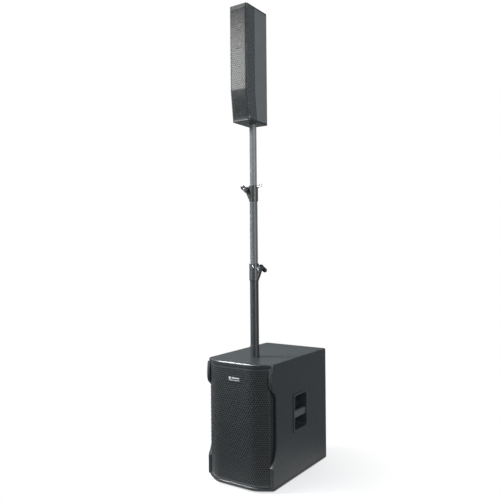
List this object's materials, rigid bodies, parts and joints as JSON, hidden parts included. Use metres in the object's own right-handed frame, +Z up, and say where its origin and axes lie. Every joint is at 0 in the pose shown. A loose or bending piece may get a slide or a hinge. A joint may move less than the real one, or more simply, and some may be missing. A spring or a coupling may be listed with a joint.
{
  "type": "column pa system",
  "caption": "Powered bass cabinet with bowed grille and recessed handles, carrying a telescopic clamp-collar pole and a slim column loudspeaker.",
  "frame": {"origin": "on the floor under the middle of the bass cabinet's box, feet at z = 0", "axes": "+Z up along the pole, front grilles towards -Y, +X to the right seen from the front"},
  "size_m": [0.3902, 0.592, 2.324],
  "materials": {
    "cabinet_paint": "textured black paint on plywood",
    "inner_board": "black-stained plywood",
    "grille_steel": "perforated steel, satin black powder coat",
    "foam": "open-cell acoustic foam",
    "badge_plate": "satin bare aluminium",
    "cast_basket": "black painted die casting",
    "magnet_steel": "painted ferrite and steel",
    "cone_pulp": "pressed pulp, black",
    "surround_rubber": "matt rubber",
    "copper": "enamelled copper wire",
    "screw_steel": "black zinc",
    "handle_plastic": "grained black plastic",
    "grip_metal": "satin dark grey paint",
    "amp_panel": "black anodised aluminium",
    "sink_metal": "black anodised extrusion",
    "socket_plastic": "moulded black plastic",
    "knob_plastic": "moulded knob",
    "switch_plastic": "red rocker",
    "button_plastic": "grey push button",
    "led_lens": "green lens",
    "board_green": "circuit board",
    "transformer_wrap": "taped toroidal winding",
    "foot_rubber": "moulded rubber",
    "socket_steel": "black steel",
    "tube_satin": "satin black powder coat",
    "collar_cast": "black die casting",
    "clamp_plastic": "moulded wing knob",
    "pin_chrome": "chromed steel",
    "column_paint": "textured dark grey paint",
    "column_cap_paint": "black plate",
    "column_grille_steel": "perforated steel, satin dark grey"
  },
  "bodies": {
    "bass_cabinet": {"top_panel": "cabinet_paint", "bottom_panel": "cabinet_paint", "left_side_panel": "cabinet_paint", "right_side_panel": "cabinet_paint", "rear_panel": "cabinet_paint", "baffle_board": "inner_board", "port_shelf": "inner_board", "rubber_feet": "foot_rubber", "front_grille": "grille_steel", "grille_foam": "foam", "badge": "badge_plate", "woofer_frame": "cast_basket", "woofer_magnet": "magnet_steel", "woofer_surround": "surround_rubber", "woofer_screws": "screw_steel", "left_handle_cup": "handle_plastic", "right_handle_cup": "handle_plastic", "left_handle_grip": "grip_metal", "right_handle_grip": "grip_metal", "handle_screws": "screw_steel", "amp_plate": "amp_panel", "heat_sink": "sink_metal", "input_sockets": "socket_plastic", "output_sockets": "socket_plastic", "mains_inlet": "socket_plastic", "power_led": "led_lens", "amp_board": "board_green", "transformer": "transformer_wrap", "amp_screws": "screw_steel", "pole_socket": "socket_steel", "pole_base": "tube_satin", "lower_tube": "tube_satin", "lower_collar": "collar_cast"},
    "woofer_diaphragm": {"woofer_cone": "cone_pulp", "dust_cap": "cone_pulp", "voice_coil": "copper"},
    "power_switch": {"power_switch": "switch_plastic"},
    "ground_lift_button": {"ground_lift_button": "button_plastic"},
    "bass_level_knob": {"bass_level_knob": "knob_plastic"},
    "column_level_knob": {"column_level_knob": "knob_plastic"},
    "lower_clamp_knob": {"lower_clamp_knob": "clamp_plastic"},
    "upper_clamp_knob": {"upper_clamp_knob": "clamp_plastic"},
    "lower_lock_pin": {"lower_lock_pin": "pin_chrome"},
    "upper_lock_pin": {"upper_lock_pin": "pin_chrome"},
    "mid_pole": {"mid_tube": "tube_satin", "upper_collar": "collar_cast"},
    "upper_pole": {"upper_tube": "tube_satin"},
    "column": {"column_grille": "column_grille_steel", "column_cabinet": "column_paint", "column_top_cap": "column_cap_paint", "column_bottom_cap": "column_cap_paint", "column_pole_cup": "socket_steel", "column_baffle": "inner_board", "column_driver_1": "cast_basket", "column_driver_2": "cast_basket", "column_driver_3": "cast_basket", "column_driver_4": "cast_basket", "tweeter_horn": "socket_plastic", "column_sockets": "socket_plastic"}
  },
  "joints": [
    {"name": "mid_pole_slide", "type": "slide", "parent": "bass_cabinet", "child": "mid_pole", "axis": [0, 0, 1], "range_m": [-0.3, 0.05]},
    {"name": "upper_pole_slide", "type": "slide", "parent": "mid_pole", "child": "upper_pole", "axis": [0, 0, 1], "range_m": [-0.28, 0.04]},
    {"name": "column_swivel", "type": "hinge", "parent": "upper_pole", "child": "column", "pos_m": [0, -0.114, 1.8], "axis": [0, 0, 1], "continuous": true},
    {"name": "lower_clamp_turn", "type": "hinge", "parent": "bass_cabinet", "child": "lower_clamp_knob", "pos_m": [0.033, -0.084, 1.042], "axis": [0, 1, 0], "range_deg": [0, 360]},
    {"name": "upper_clamp_turn", "type": "hinge", "parent": "mid_pole", "child": "upper_clamp_knob", "pos_m": [-0.033, -0.144, 1.44], "axis": [0, -1, 0], "range_deg": [0, 360]},
    {"name": "lower_pin_pull", "type": "slide", "parent": "bass_cabinet", "child": "lower_lock_pin", "axis": [0.4226, -0.9063, 0], "range_m": [0, 0.012]},
    {"name": "upper_pin_pull", "type": "slide", "parent": "mid_pole", "child": "upper_lock_pin", "axis": [1, 0, 0], "range_m": [0, 0.012]},
    {"name": "bass_level_turn", "type": "hinge", "parent": "bass_cabinet", "child": "bass_level_knob", "pos_m": [-0.05, 0.28, 0.402], "axis": [0, 1, 0], "range_deg": [-150, 150]},
    {"name": "column_level_turn", "type": "hinge", "parent": "bass_cabinet", "child": "column_level_knob", "pos_m": [0.05, 0.28, 0.402], "axis": [0, 1, 0], "range_deg": [-150, 150]},
    {"name": "power_switch_rock", "type": "hinge", "parent": "bass_cabinet", "child": "power_switch", "pos_m": [-0.012, 0.275, 0.21], "axis": [1, 0, 0], "range_deg": [0, 16]},
    {"name": "ground_lift_press", "type": "slide", "parent": "bass_cabinet", "child": "ground_lift_button", "axis": [0, -1, 0], "range_m": [0, 0.002], "stiffness_N_per_m": 300},
    {"name": "woofer_stroke", "type": "slide", "parent": "bass_cabinet", "child": "woofer_diaphragm", "axis": [0, 1, 0], "range_m": [-0.006, 0.006], "stiffness_N_per_m": 2500}
  ]
}
